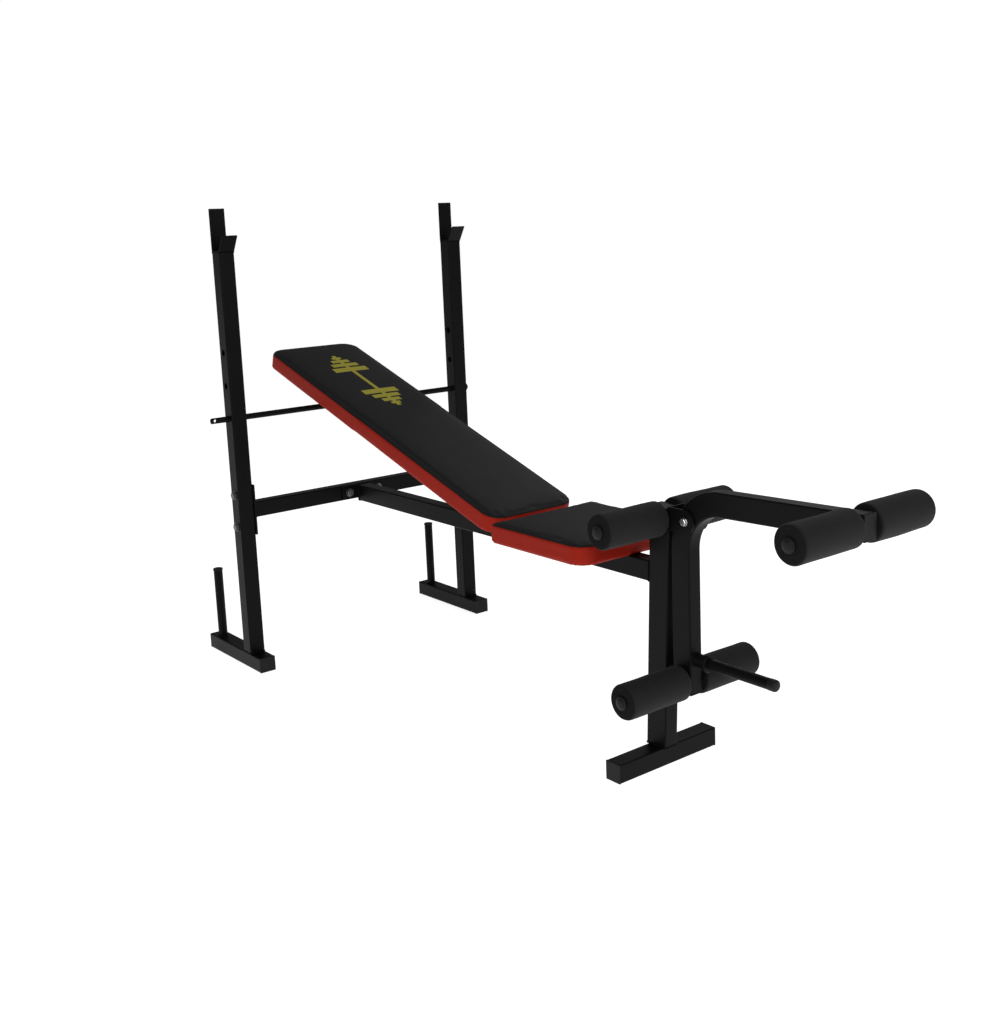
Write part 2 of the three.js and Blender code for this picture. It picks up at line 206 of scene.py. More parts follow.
CAMERA_AT = (1.65003, -1.62166, 1.04592)
YAW, PITCH, ROLL = math.radians(51.47), math.radians(-10.06), math.radians(-2.21)
ahead = Vector((-math.sin(YAW) * math.cos(PITCH), math.cos(YAW) * math.cos(PITCH), math.sin(PITCH)))
across = ahead.cross(Vector((0, 0, 1))).normalized()
upward = across.cross(ahead)
rolled = math.cos(ROLL) * across + math.sin(ROLL) * upward
lens = bpy.data.cameras.new("camera")
lens.sensor_fit, lens.sensor_width, lens.lens = "HORIZONTAL", 36, 45.37
lens.shift_x, lens.shift_y = -0.02737, -0.06835
camera = bpy.data.objects.new("camera", lens)
facing = Matrix((rolled, math.cos(ROLL) * upward - math.sin(ROLL) * across, -ahead)).transposed()
camera.matrix_world = Matrix.Translation(CAMERA_AT) @ facing.to_4x4()
bpy.context.scene.collection.objects.link(camera)
bpy.context.scene.camera = camera


# ---- Rear feet ----
# Two lengths of welded box tube lie along the sides under the uprights.
# They are powder coated satin black and closed by moulded plastic plugs.
MM = 0.001
SIDES = (("right", -1), ("left", 1))


def relief(here, height, depth, strength=1.0):
    """Raises the surface by a height from 0 to 1 that stands for a depth in metres."""
    return here.node("ShaderNodeBump", {"Height": height, "Distance": depth, "Strength": strength})


black_paint, shader, here = finish("satin_black_powder_coat", Specular_IOR_Level=0.07)
cloud = here.noise(11, 3)
here.feed(shader.inputs["Base Color"], cloud.tint((0.0022, 0.0022, 0.0026), (0.0046, 0.0046, 0.0052)))
here.feed(shader.inputs["Roughness"], cloud.blend(0.33, 0.47) + here.noise(180, 2) * 0.05)
here.feed(shader.inputs["Normal"], relief(here, here.noise(430, 2), 0.00012, 0.5))

black_plastic, shader, here = finish("moulded_black_plastic", Specular_IOR_Level=0.16)
grain = here.noise(2300, 2)
cloud = here.noise(60, 2)
here.feed(shader.inputs["Base Color"], cloud.tint((0.0045, 0.0045, 0.0045), (0.008, 0.008, 0.0083)))
here.feed(shader.inputs["Roughness"], grain.blend(0.45, 0.62))
here.feed(shader.inputs["Normal"], relief(here, grain, 0.00008, 0.5))


def settle(piece, sharp=38):
    """Smooth shading with the real corners kept, and flat faces that read flat."""
    piece.data.shade_smooth()
    piece.data.set_sharp_from_angle(angle=math.radians(sharp))
    piece.modifiers.new("Even", "WEIGHTED_NORMAL").keep_sharp = True
    return made_plain(piece)


def made_plain(piece):
    """Applies what modifies a piece, and leaves its plain mesh."""
    view = bpy.context.evaluated_depsgraph_get()
    mesh = bpy.data.meshes.new_from_object(
        piece.evaluated_get(view), preserve_all_data_layers=True, depsgraph=view
    )
    piece.modifiers.clear()
    piece.data = mesh
    return piece


def skinned(name, rings, closed=False):
    """A mesh through rings of equal count, capped at its ends or closed on itself."""
    count = len(rings[0])
    faces = []
    for i in range(len(rings) if closed else len(rings) - 1):
        a, b = i * count, (i + 1) % len(rings) * count
        faces += [(a + j, a + (j + 1) % count, b + (j + 1) % count, b + j) for j in range(count)]
    if not closed:
        faces += [tuple(range(count)), tuple(range(len(rings) * count - count, len(rings) * count))]
    mesh = bpy.data.meshes.new(name)
    mesh.from_pydata([p for ring in rings for p in ring], [], faces)
    work = bmesh.new()
    work.from_mesh(mesh)
    bmesh.ops.remove_doubles(work, verts=work.verts, dist=2e-7)
    bmesh.ops.recalc_face_normals(work, faces=work.faces)
    work.to_mesh(mesh)
    work.free()
    return placed(name, mesh)


def cross_section(width, depth, corner, steps=5):
    """Points round a box section with rolled corners."""
    corner = max(corner, 0.15 * MM)
    points = []
    for turn, (sx, sy) in enumerate(((1, 1), (-1, 1), (-1, -1), (1, -1))):
        for i in range(steps + 1):
            a = math.pi / 2 * (turn + i / steps)
            x = sx * (width / 2 - corner) + corner * math.cos(a)
            y = sy * (depth / 2 - corner) + corner * math.sin(a)
            points.append((x, y))
    return points


def box_tube(name, path, side, width, depth, wall=2 * MM, corner=3 * MM, rim=0.6 * MM):
    """A box tube bent along a path. Width runs along side, and depth across it."""
    path, side = [Vector(p) for p in path], Vector(side)
    last = len(path) - 1

    def ring(i, shift, grow):
        run = (path[min(i + 1, last)] - path[max(i - 1, 0)]).normalized()
        if 0 < i < last:
            run = ((path[i + 1] - path[i]).normalized() + (path[i] - path[i - 1]).normalized()).normalized()
        lift = run.cross(side)
        return [
            path[i] + run * shift + side * x + lift * y
            for x, y in cross_section(width + 2 * grow, depth + 2 * grow, corner + grow)
        ]

    middle = range(1, last)
    outside = [
        ring(0, 0, -rim),
        ring(0, rim, 0),
        *(ring(i, 0, 0) for i in middle),
        ring(last, -rim, 0),
        ring(last, 0, -rim),
    ]
    if not wall:
        return settle(skinned(name, outside))
    bore = [
        ring(last, 0, rim / 2 - wall),
        ring(last, -rim, -wall),
        *(ring(i, 0, -wall) for i in reversed(middle)),
        ring(0, rim, -wall),
        ring(0, 0, rim / 2 - wall),
    ]
    return settle(skinned(name, outside + bore, closed=True))


def straight_tube(name, node, axis, **shape):
    """The box tube that a straight CAD tube stands for."""
    low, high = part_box(node)
    start = (low + high) / 2
    end = start.copy()
    start[axis], end[axis] = low[axis], high[axis]
    side = (1, 0, 1)[axis]
    size = high - low
    depth = size[3 - axis - side]
    return box_tube(name, (start, end), [float(k == side) for k in range(3)], size[side], depth, **shape)


def fitted(piece, body, finish_used, slot, *nodes):
    """The finish, the body that the piece rides on, its slot (not used) and the CAD nodes it stands for."""
    piece.data.materials.clear()
    piece.data.materials.append(finish_used)
    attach(piece, body)
    if nodes:
        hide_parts(*nodes)
    return piece


def eased(name, node, width, angle=40, segments=3):
    """A CAD plate or moulding with its edges broken."""
    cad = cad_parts[node].data
    mesh = bpy.data.meshes.new(name)
    mesh.from_pydata([v.co for v in cad.vertices], [], [tuple(p.vertices) for p in cad.polygons])
    work = bmesh.new()
    work.from_mesh(mesh)
    bmesh.ops.remove_doubles(work, verts=work.verts, dist=3e-6)
    bmesh.ops.dissolve_limit(work, angle_limit=math.radians(1.5), verts=work.verts[:], edges=work.edges[:])
    sharp = [e for e in work.edges if len(e.link_faces) == 2 and e.calc_face_angle(0) > math.radians(angle)]
    bmesh.ops.bevel(
        work, geom=sharp, offset=width, segments=segments, profile=0.5, affect="EDGES", clamp_overlap=True
    )
    work.to_mesh(mesh)
    work.free()
    return settle(placed(name, mesh))


for side, _ in SIDES:
    foot = straight_tube(f"rear_foot_{side}", f"foot_{side}", 0)
    fitted(foot, "frame", black_paint, "black_paint", f"foot_{side}")
    for end in ("rear", "front"):
        node = f"foot_cap_{end}_{side}"
        fitted(eased(f"rear_{node}", node, 1.3 * MM), "frame", black_plastic, "black_plastic", node)


# ---- Plate pegs ----
# Round tubes stand on the rear feet to store spare weight plates.
# Each is welded at its base and closed by a pressed-in cap.
def turned(name, start, direction, profile, sides=48, closed=False):
    """A round piece: its profile is (distance along the line, radius) from end to end."""
    start, run = Vector(start), Vector(direction).normalized()
    across = run.orthogonal().normalized()
    lift = run.cross(across)
    rings = [
        [
            start + run * t + (across * math.cos(a) + lift * math.sin(a)) * max(r, 1e-9)
            for a in (2 * math.pi * i / sides for i in range(sides))
        ]
        for t, r in profile
    ]
    return skinned(name, rings, closed)


def round_tube(name, start, end, radius, wall, rim=0.4 * MM, sides=48):
    start, end = Vector(start), Vector(end)
    length = (end - start).length
    profile = [
        (0, radius - rim), (rim, radius), (length - rim, radius), (length, radius - rim),
        (length, radius - wall + rim / 2), (length - rim, radius - wall), (rim, radius - wall),
        (0, radius - wall + rim / 2),
    ]
    return settle(turned(name, start, end - start, profile, sides, closed=True))


def in_mm(*profile):
    """A profile whose distances and radii are given in millimetres."""
    return [(t * MM, r * MM) for t, r in profile]


for side, _ in SIDES:
    low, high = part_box(f"plate_peg_{side}")
    x, y = (low.x + high.x) / 2, (low.y + high.y) / 2
    peg = round_tube(f"plate_peg_tube_{side}", (x, y, low.z), (x, y, high.z), 11 * MM, 2 * MM)
    fitted(peg, "frame", black_paint, "black_paint", f"plate_peg_{side}")
    low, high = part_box(f"peg_cap_{side}")
    rise = (high.z - low.z) / MM
    profile = in_mm(
        (0, 0), (0, 8), (0.5, 8.7), (rise - 5.9, 8.7), (rise - 5.7, 11.8), (rise - 5, 12),
        (rise - 2, 12), (rise - 0.9, 11.3), (rise - 0.3, 9.5), (rise, 5.5), (rise, 0),
    )
    cap = turned(f"plate_peg_cap_{side}", (x, y, low.z), (0, 0, 1), profile)
    fitted(settle(cap), "frame", black_plastic, "black_plastic", f"peg_cap_{side}")


# ---- Uprights ----
# Tall box tubes carry the barbell and the adjusting rod.
# Three pairs of holes are drilled through them for the rod, one above the other.
ROD_R, ROD_HOLE_R, ROD_STEP = 7 * MM, 7.7 * MM, 78 * MM
rod_low, rod_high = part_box("rod_head")
rod_level = (rod_low.z + rod_high.z) / 2
for side, _ in SIDES:
    post = straight_tube(f"upright_tube_{side}", f"upright_{side}", 2)
    low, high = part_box(f"upright_{side}")
    x, y = (low.x + high.x) / 2, (low.y + high.y) / 2
    bore = [(0, 0), (0, ROD_HOLE_R), (0.06, ROD_HOLE_R), (0.06, 0)]
    drills = [
        turned("drill", (x, y - 0.03, rod_level + i * ROD_STEP), (0, 1, 0), bore, 40) for i in range(3)
    ]
    for drill in drills:
        hole = post.modifiers.new("Drill", "BOOLEAN")
        hole.operation, hole.solver, hole.object = "DIFFERENCE", "EXACT", drill
    settle(post)
    for drill in drills:
        bpy.data.objects.remove(drill)
    fitted(post, "frame", black_paint, "black_paint", f"upright_{side}")


# ---- Bar cradles ----
# One strip of plate is bent into a tall rear horn and a short flared lip.
# It is welded on the top of each upright, and the bar drops between the two.
def filleted(points, radius, steps=6):
    """A path with its corners turned into arcs."""
    points = [Vector(p) for p in points]
    path = [points[0]]
    for before, corner, after in zip(points, points[1:], points[2:]):
        a, b = (before - corner).normalized(), (after - corner).normalized()
        half = a.angle(b) / 2
        reach = radius / math.tan(half)
        centre = corner + (a + b).normalized() * radius / math.sin(half)
        first, second = corner + a * reach - centre, corner + b * reach - centre
        for i in range(steps + 1):
            t = i / steps
            path.append(centre + (first * (1 - t) + second * t).normalized() * radius)
    return [*path, points[-1]]


STRIP_T, STRIP_BEND_R, STRIP_BASE, LIP_RISE, LIP_BACK = 3.5 * MM, 3.4 * MM, 37.2 * MM, 37 * MM, 1.8 * MM
for side, _ in SIDES:
    low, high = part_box(f"bar_cradle_{side}")
    y, width = (low.y + high.y) / 2, high.y - low.y
    back, base = low.x + STRIP_T / 2, low.z + STRIP_T / 2
    corners = [
        (back, y, high.z),
        (back, y, base),
        (low.x + STRIP_BASE, y, base),
        (high.x - LIP_BACK, y, low.z + LIP_RISE),
    ]
    horn = box_tube(
        f"cradle_strip_{side}", filleted(corners, STRIP_BEND_R), (0, 1, 0), width, STRIP_T,
        wall=0, corner=0.6 * MM, rim=0.5 * MM,
    )
    fitted(horn, "frame", black_paint, "black_paint", f"bar_cradle_{side}")


# ---- Cross member and main beam ----
# A box tube with a plate on each end is bolted between the uprights.
# The long beam starts from a flange bolted on its middle and carries both pads.
for name, node, axis in (("cross_tube", "cross_member", 1), ("beam_tube", "main_beam", 0)):
    fitted(straight_tube(name, node, axis), "frame", black_paint, "black_paint", node)
for name, node in (
    ("end_plate_right", "cross_plate_right"),
    ("end_plate_left", "cross_plate_left"),
    ("beam_plate", "beam_flange"),
):
    fitted(eased(name, node, 0.7 * MM), "frame", black_paint, "black_paint", node)


# ---- Front foot and post ----
# A short box tube lies across the floor, and the post leans forward from it.
# The post's open top end shows above the thigh rollers.
fitted(straight_tube("front_foot_tube", "front_foot", 1), "frame", black_paint, "black_paint", "front_foot")
for side, _ in SIDES:
    node = f"front_foot_cap_{side}"
    fitted(eased(f"foot_end_{side}", node, 1.3 * MM), "frame", black_plastic, "black_plastic", node)
POST_LEAN, POST_W, POST_D, LID_GAP = 0.045, 33 * MM, 51 * MM, 4.4 * MM
low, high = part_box("front_post")
post_middle, post_level = (low.x + high.x) / 2, (low.z + high.z) / 2


def post_x(z):
    """The middle of the leaning post at a height."""
    return post_middle + (z - post_level) * POST_LEAN


path = ((post_x(low.z), 0, low.z), (post_x(high.z), 0, high.z))
post = box_tube("front_post_tube", path, (0, 1, 0), POST_W, POST_D)
fitted(post, "frame", black_paint, "black_paint", "front_post")
lid_low = high.z - 9 * MM
path = ((post_x(lid_low), 0, lid_low), (post_x(high.z), 0, high.z - 0.4 * MM))
lid = box_tube(
    "front_post_lid", path, (0, 1, 0), POST_W - LID_GAP, POST_D - LID_GAP,
    wall=0, corner=1.2 * MM, rim=0.8 * MM,
)
fitted(lid, "frame", black_plastic, "black_plastic")


# ---- Pivot bracket ----
# A plate folded to a channel is welded on the front of the post.
# Its two cheeks hold the pivot bolt of the leg developer.
channel = eased("pivot_channel", "pivot_bracket", 0.6 * MM)
fitted(channel, "frame", black_paint, "black_paint", "pivot_bracket")


# ---- Leg developer lever ----
# One box tube bent through a right angle hangs from the pivot bolt.
# Plastic plugs close both its ends.
LEVER_X, LEVER_W, LEVER_D = 72 * MM, 31 * MM, 46 * MM
BEND_R, BEND_Z, ARM_SLOPE = 98 * MM, 441 * MM, 0.03
lever_low, lever_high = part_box("leg_lever")
turn = math.pi / 2 + math.atan(ARM_SLOPE)
bend = Vector((LEVER_X + BEND_R, 0, BEND_Z))
arm_start = bend + Vector((math.cos(turn), 0, math.sin(turn))) * BEND_R


def arm_z(x):
    """The middle of the lever's arm at a distance forward."""
    return arm_start.z + (x - arm_start.x) * ARM_SLOPE


path = [(LEVER_X, 0, lever_low.z)]
path += [
    tuple(bend + Vector((math.cos(a), 0, math.sin(a))) * BEND_R)
    for a in (math.pi + (turn - math.pi) * i / 28 for i in range(29))
]
path += [(lever_high.x, 0, arm_z(lever_high.x))]
lever = box_tube("lever_tube", path, (0, 1, 0), LEVER_W, LEVER_D, corner=3.5 * MM)
fitted(lever, "leg_developer", black_paint, "black_paint", "leg_lever")
for node in ("lever_cap_bottom", "lever_cap_front"):
    fitted(eased(f"{node}_plug", node, 0.9 * MM), "leg_developer", black_plastic, "black_plastic", node)


# ---- Plate bar ----
# A short bar with a collar takes weight plates in front of the lever.
# Its socket is welded on the lever, and a push-on cap covers its end.
low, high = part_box("plate_bar")
y, z, length = (low.y + high.y) / 2, (low.z + high.z) / 2, (high.x - low.x) / MM
profile = in_mm(
    (0, 0), (0, 13), (25, 13), (25.4, 16), (26.4, 17), (32.8, 17), (34, 16), (34, 10.5),
    (length - 0.6, 10.5), (length, 9.9), (length, 0),
)
bar = turned("plate_bar_round", (low.x, y, z), (1, 0, 0), profile, 56)
fitted(settle(bar), "leg_developer", black_paint, "black_paint", "plate_bar")
low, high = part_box("plate_bar_cap")
length = (high.x - low.x) / MM
profile = in_mm(
    (0, 0), (0, 10.6), (0.5, 11), (length - 5, 11), (length - 2.6, 10.4), (length - 0.9, 8.6),
    (length, 5.5), (length, 0),
)
cap = turned("plate_bar_end", (low.x, y, z), (1, 0, 0), profile, 56)
fitted(settle(cap), "leg_developer", black_plastic, "black_plastic", "plate_bar_cap")


# ---- Foam rollers ----
# Closed-cell foam sleeves are pushed on steel tubes that cross the post and the lever.
# The moulded skin is matt, the cut ends show their pores with painted shade in each pore, and plastic plugs
# close the tubes.
foam_skin, shader, here = finish(
    "skinned_foam", Specular_IOR_Level=0.12, Sheen_Weight=0.03, Sheen_Roughness=0.6,
)
mottle, pores = here.noise(38, 4, 0.6), here.cells(1150)
here.feed(shader.inputs["Base Color"], mottle.tint((0.0075, 0.0075, 0.0078), (0.0125, 0.0125, 0.0127)))
here.feed(shader.inputs["Roughness"], mottle.blend(0.72, 0.9))
here.feed(shader.inputs["Normal"], relief(here, pores * 0.6 + here.noise(420, 3) * 0.8, 0.0005, 0.55))
cut_foam, shader, here = finish("cut_foam", Specular_IOR_Level=0.08)
pores = here.cells(720)
# Painted shade: each pore is coloured darker towards its sunken middle, and the cell walls lighter.
here.feed(shader.inputs["Base Color"], pores.tint((0.0035, 0.0035, 0.0035), (0.0115, 0.0115, 0.0117)))
here.feed(shader.inputs["Roughness"], here.noise(200).blend(0.86, 0.98))
here.feed(shader.inputs["Normal"], relief(here, pores, 0.0012, 0.8))

ROLLER_R, FOAM_BORE, EDGE_R = 33.5 * MM, 8.4 * MM, 6 * MM
for place, body in (("thigh", "frame"), ("arm", "leg_developer"), ("lower", "leg_developer")):
    low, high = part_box(f"{place}_tube")
    x, z = (low.x + high.x) / 2, (low.z + high.z) / 2
    tube = round_tube(f"{place}_roller_tube", (x, low.y, z), (x, high.y, z), 8 * MM, 1.5 * MM, sides=40)
    fitted(tube, body, black_paint, "black_paint", f"{place}_tube")
    for side, s in SIDES:
        low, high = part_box(f"{place}_foam_{side}")
        start, length = (high.y if s < 0 else low.y), high.y - low.y
        edge = [
            (EDGE_R * (1 - math.cos(a)), ROLLER_R - EDGE_R * (1 - math.sin(a)))
            for a in (math.pi / 2 * i / 7 for i in range(8))
        ]
        body_rings = [(EDGE_R + (length - 2 * EDGE_R) * i / 22, ROLLER_R) for i in range(1, 22)]
        profile = [(0.9 * MM, FOAM_BORE), (0.3 * MM, 11 * MM), (0, 17 * MM), *edge, *body_rings]
        profile += [(length - t, r) for t, r in reversed(edge)]
        profile += [(length, 17 * MM), (length - 0.3 * MM, 11 * MM), (length - 0.9 * MM, FOAM_BORE)]
        sleeve = turned(f"{place}_roller_{side}", (x, start, z), (0, s, 0), profile, 72, closed=True)
        for point in sleeve.data.vertices:
            across = Vector((point.co.x - x, 0, point.co.z - z))
            if across.length > ROLLER_R - 1.5 * MM:
                t = (point.co.y - start) * s / length
                a = math.atan2(across.z, across.x)
                dent = (
                    0.28 * math.sin(2 * a + 5 * t + 2 * s)
                    + 0.22 * math.sin(3 * a - 9 * t + len(place))
                    - 0.3 * (2 * t - 1) ** 4
                )
                point.co += across.normalized() * dent * MM
        settle(sleeve, 60)
        fitted(sleeve, f"{place}_roller_{side}", foam_skin, "black_foam", f"{place}_foam_{side}")
        sleeve.data.materials.append(cut_foam)
        for face in sleeve.data.polygons:
            reach = Vector((face.center.x - x, 0, face.center.z - z)).length
            if abs(face.normal.y) > 0.8 or reach < 9 * MM:
                face.material_index = 1

        low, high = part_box(f"{place}_plug_{side}")
        depth = (high.y - low.y) / MM
        profile = in_mm(
            (0, 0), (0, 5.4), (0.8, 6.1), (depth - 6.4, 6.1), (depth - 6.2, 12), (depth - 5.6, 12.8),
            (depth - 4, 13), (depth - 3.1, 12.4), (depth - 2.6, 11), (depth - 2.4, 9.4),
            (depth - 1.2, 8.8), (depth - 0.4, 7), (depth, 4), (depth, 0),
        )
        start = low.y if s > 0 else high.y
        plug = turned(f"{place}_tube_plug_{side}", (x, start, z), (0, s, 0), profile)
        fitted(settle(plug, 50), body, black_plastic, "black_plastic", f"{place}_plug_{side}")


# ---- Weld beads ----
# Short rippled beads run round every joint of the steel tubes.
# They were laid before the coat, so they carry the same black finish.
class Tree(Wire):
    """A Geometry Nodes tree with named inputs, built from the wires of its nodes."""

    def __init__(self, name, **inputs):
        super().__init__(bpy.data.node_groups.new(name, "GeometryNodeTree"))
        self.tree.interface.new_socket("Guide", in_out="INPUT", socket_type="NodeSocketGeometry")
        for label, value in inputs.items():
            kind = {float: "Float", int: "Int"}.get(type(value), "Material")
            socket = self.tree.interface.new_socket(
                label.replace("_", " "), in_out="INPUT", socket_type=f"NodeSocket{kind}"
            )
            if value is not None:
                socket.default_value = value
        self.tree.interface.new_socket("Made", in_out="OUTPUT", socket_type="NodeSocketGeometry")
        self.entry = self.tree.nodes.new("NodeGroupInput")

    def given(self, label):
        return Wire(self.tree, self.entry.outputs[label])

    def ends(self, shape):
        """Makes the shape real, gives it its finish and sends it out."""
        real = shape.node("GeometryNodeRealizeInstances", {"Geometry": shape})
        painted = real.node("GeometryNodeSetMaterial", {"Geometry": real, "Material": self.given("Finish")})
        self.feed(self.tree.nodes.new("NodeGroupOutput").inputs[0], painted)

    def grown(self, name, guide, body, slot, sharp=38, **values):
        """Runs the tree on a guide and leaves one plain piece that rides on a body."""
        piece = placed(name, guide)
        built = piece.modifiers.new("Built", "NODES")
        built.node_group = self.tree
        for item in self.tree.interface.items_tree:
            label = item.name.replace(" ", "_")
            if item.in_out == "INPUT" and label in values:
                built[item.identifier] = values[label]
        made_plain(piece)
        piece.data.set_sharp_from_angle(angle=math.radians(sharp))
        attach(piece, body)
        return piece


bead = Tree("rippled_bead", Bead_Radius=1.8 * MM, Ripple_Pitch=2.6 * MM, Unevenness=0.16, Seed=7, Finish=None)
seam = bead.node("GeometryNodeMeshToCurve", {"Mesh": bead.given("Guide")})
seam = bead.node("GeometryNodeResampleCurve", {"Curve": seam, "Length": 0.85 * MM}, mode="LENGTH")
run = bead.node("GeometryNodeSplineParameter", out=1)
ripple = bead.maths("SINE", run * (2 * math.pi) / bead.given("Ripple Pitch")) * bead.given("Unevenness")
chance = bead.node("FunctionNodeRandomValue", {2: 0.93, 3: 1.07, "Seed": bead.given("Seed")}, out=1)
ring = bead.node("GeometryNodeCurvePrimitiveCircle", {"Resolution": 8, "Radius": bead.given("Bead Radius")})
solid = bead.node(
    "GeometryNodeCurveToMesh",
    {"Curve": seam, "Profile Curve": ring, "Scale": (ripple + 1.0) * chance, "Fill Caps": True},
)
bead.ends(bead.node("GeometryNodeSetShadeSmooth", {"Geometry": solid, "Shade Smooth": True}))


def round_seam(centre, axis, radius, steps=36):
    """The closed line where a round tube meets a face."""
    axis = Vector(axis).normalized()
    across = axis.orthogonal().normalized()
    lift = axis.cross(across)
    return [
        Vector(centre) + (across * math.cos(a) + lift * math.sin(a)) * radius
        for a in (2 * math.pi * i / steps for i in range(steps))
    ]


def box_seam(centre, a, b, width, depth, corner=3 * MM):
    """The closed line where a box tube meets a face."""
    a, b = Vector(a), Vector(b)
    return [Vector(centre) + a * x + b * y for x, y in cross_section(width, depth, corner, 3)]


def guide_lines(name, loops, open_lines=()):
    points, edges = [], []
    for line, shut in [(loop, True) for loop in loops] + [(line, False) for line in open_lines]:
        first = len(points)
        points += [Vector(p) for p in line]
        edges += [(first + i, first + i + 1) for i in range(len(line) - 1)]
        if shut:
            edges.append((len(points) - 1, first))
    mesh = bpy.data.meshes.new(name)
    mesh.from_pydata(points, edges, [])
    return mesh


X, Y, Z = Vector((1, 0, 0)), Vector((0, 1, 0)), Vector((0, 0, 1))
thigh_low, thigh_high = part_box("thigh_tube")
thigh_level = (thigh_low.z + thigh_high.z) / 2
loops, lines = [], []
for side, s in SIDES:
    low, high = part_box(f"upright_{side}")
    middle = (low + high) / 2
    loops.append(box_seam((middle.x, middle.y, low.z), X, Y, high.x - low.x, high.y - low.y))
    for edge in (low.y, high.y):
        lines.append([(low.x + 3 * MM, edge, high.z), (high.x - 3 * MM, edge, high.z)])
    low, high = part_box(f"plate_peg_{side}")
    loops.append(round_seam(((low.x + high.x) / 2, (low.y + high.y) / 2, low.z), Z, (high.x - low.x) / 2))
    low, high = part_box("cross_member")
    end = ((low.x + high.x) / 2, high.y if s > 0 else low.y, (low.z + high.z) / 2)
    loops.append(box_seam(end, X, Z, high.x - low.x, high.z - low.z))
    loops.append(round_seam((post_x(thigh_level), s * POST_W / 2, thigh_level), Y, 8 * MM))
low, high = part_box("main_beam")
for x in (low.x, high.x):
    loops.append(box_seam((x, 0, (low.z + high.z) / 2), Y, Z, high.y - low.y, high.z - low.z))
low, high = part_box("front_post")
loops.append(box_seam((post_x(low.z), 0, low.z), X, Y, POST_D, POST_W))
low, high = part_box("pivot_bracket")
for y in (low.y + 1 * MM, high.y - 1 * MM):
    lines.append([(post_x(z) + POST_D / 2, y * 0.8, z) for z in (low.z + 1 * MM, high.z - 5 * MM)])
guide = guide_lines("frame_welds", loops, lines)
bead.grown("frame_welds", guide, "frame", "black_paint", Finish=black_paint)

loops = []
low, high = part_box("plate_bar")
loops.append(round_seam((low.x, 0, (low.z + high.z) / 2), X, 13 * MM))
for place in ("arm", "lower"):
    low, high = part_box(f"{place}_tube")
    for s in (-1, 1):
        loops.append(round_seam(((low.x + high.x) / 2, s * LEVER_W / 2, (low.z + high.z) / 2), Y, 8 * MM))
guide = guide_lines("lever_welds", loops)
bead.grown(
    "lever_welds", guide, "leg_developer", "black_paint", Finish=black_paint, Bead_Radius=1.6 * MM,
)


# ---- Bolts ----
# Zinc plated hex bolts with washers and nuts hold the plates, the flange and both pivots.
# The bolt's head sits at each guide point, and its shank runs along the point's aim.
def plated(name, dark, bright, smooth, rough):
    """A zinc plate whose bloom goes from one colour and roughness to another."""
    material, shader, here = finish(name, Metallic=1.0)
    bloom = here.noise(160, 4, 0.65)
    here.feed(shader.inputs["Base Color"], bloom.tint(dark, bright))
    here.feed(shader.inputs["Roughness"], bloom.blend(smooth, rough))
    here.feed(shader.inputs["Normal"], relief(here, here.noise(900, 2), 0.00006, 0.6))
    return material


zinc = plated("zinc_plate", (0.36, 0.37, 0.39), (0.56, 0.56, 0.55), 0.24, 0.42)
dull_zinc = plated("dull_zinc_plate", (0.1, 0.1, 0.105), (0.2, 0.2, 0.2), 0.36, 0.52)
hexbolt = Tree(
    "hex_bolt", Corner_Radius=9 * MM, Head_Height=5.6 * MM, Shank_Radius=5 * MM,
    Washer_Radius=10.5 * MM, Washer_Thickness=1.3 * MM, Grip=40 * MM, Nut_Height=5.2 * MM,
    Thread_Left=2 * MM, Turns=3, Finish=None,
)
corner, head, shank, washer = (
    hexbolt.given(label) for label in ("Corner Radius", "Head Height", "Shank Radius", "Washer Radius")
)
thick, grip, nut, left = (
    hexbolt.given(label) for label in ("Washer Thickness", "Grip", "Nut Height", "Thread Left")
)


def disc(radius, depth, level, sides, top=None):
    """A drum or a hexagon between two levels along the bolt."""
    if top is None:
        sizes = {"Vertices": sides, "Radius": radius, "Depth": depth}
        shape = hexbolt.node("GeometryNodeMeshCylinder", sizes)
        level = level + depth / 2
    else:
        sizes = {"Vertices": sides, "Radius Bottom": radius, "Radius Top": top, "Depth": depth}
        shape = hexbolt.node("GeometryNodeMeshCone", sizes)
    shift = hexbolt.node("ShaderNodeCombineXYZ", {"Z": level})
    return hexbolt.node("GeometryNodeTransform", {"Geometry": shape, "Translation": shift})


zero = hexbolt.maths("MULTIPLY", grip, 0.0)
parts = [
    disc(washer, thick, zero - thick, 32),
    disc(corner, head * 0.8, zero - thick - head * 0.8, 6),
    disc(corner * 0.86, head * 0.2, zero - thick - head, 6, top=corner),
    disc(shank, grip + 2 * thick, zero - thick, 20),
    disc(washer, thick, grip, 32),
    disc(corner, nut * 0.8, grip + thick, 6),
    disc(corner, nut * 0.2, grip + thick + nut * 0.8, 6, top=corner * 0.86),
    disc(shank * 0.86, nut + left, grip + thick, 16),
]
row = hexbolt.node("ShaderNodeCombineXYZ", {"Z": grip + thick + nut})
pitch = left / (hexbolt.given("Turns") + 0.0)
step = hexbolt.node("ShaderNodeCombineXYZ", {"Z": pitch * 0.9})
turns = hexbolt.node(
    "GeometryNodeMeshLine", {"Count": hexbolt.given("Turns"), "Start Location": row, "Offset": step},
)
ridge = hexbolt.node("GeometryNodeJoinGeometry", {0: [
    disc(shank * 0.84, pitch * 0.45, zero, 16, top=shank),
    disc(shank, pitch * 0.45, zero + pitch * 0.45, 16, top=shank * 0.84),
]})
parts.append(hexbolt.node("GeometryNodeInstanceOnPoints", {"Points": turns, "Instance": ridge}))
whole = hexbolt.node("GeometryNodeJoinGeometry", {0: parts})
aim = hexbolt.node("GeometryNodeInputNamedAttribute", {"Name": "aim"}, data_type="FLOAT_VECTOR")
facing = hexbolt.node("FunctionNodeAlignRotationToVector", {"Vector": aim}, axis="Z")
hexbolt.ends(hexbolt.node(
    "GeometryNodeInstanceOnPoints",
    {"Points": hexbolt.given("Guide"), "Instance": whole, "Rotation": facing},
))


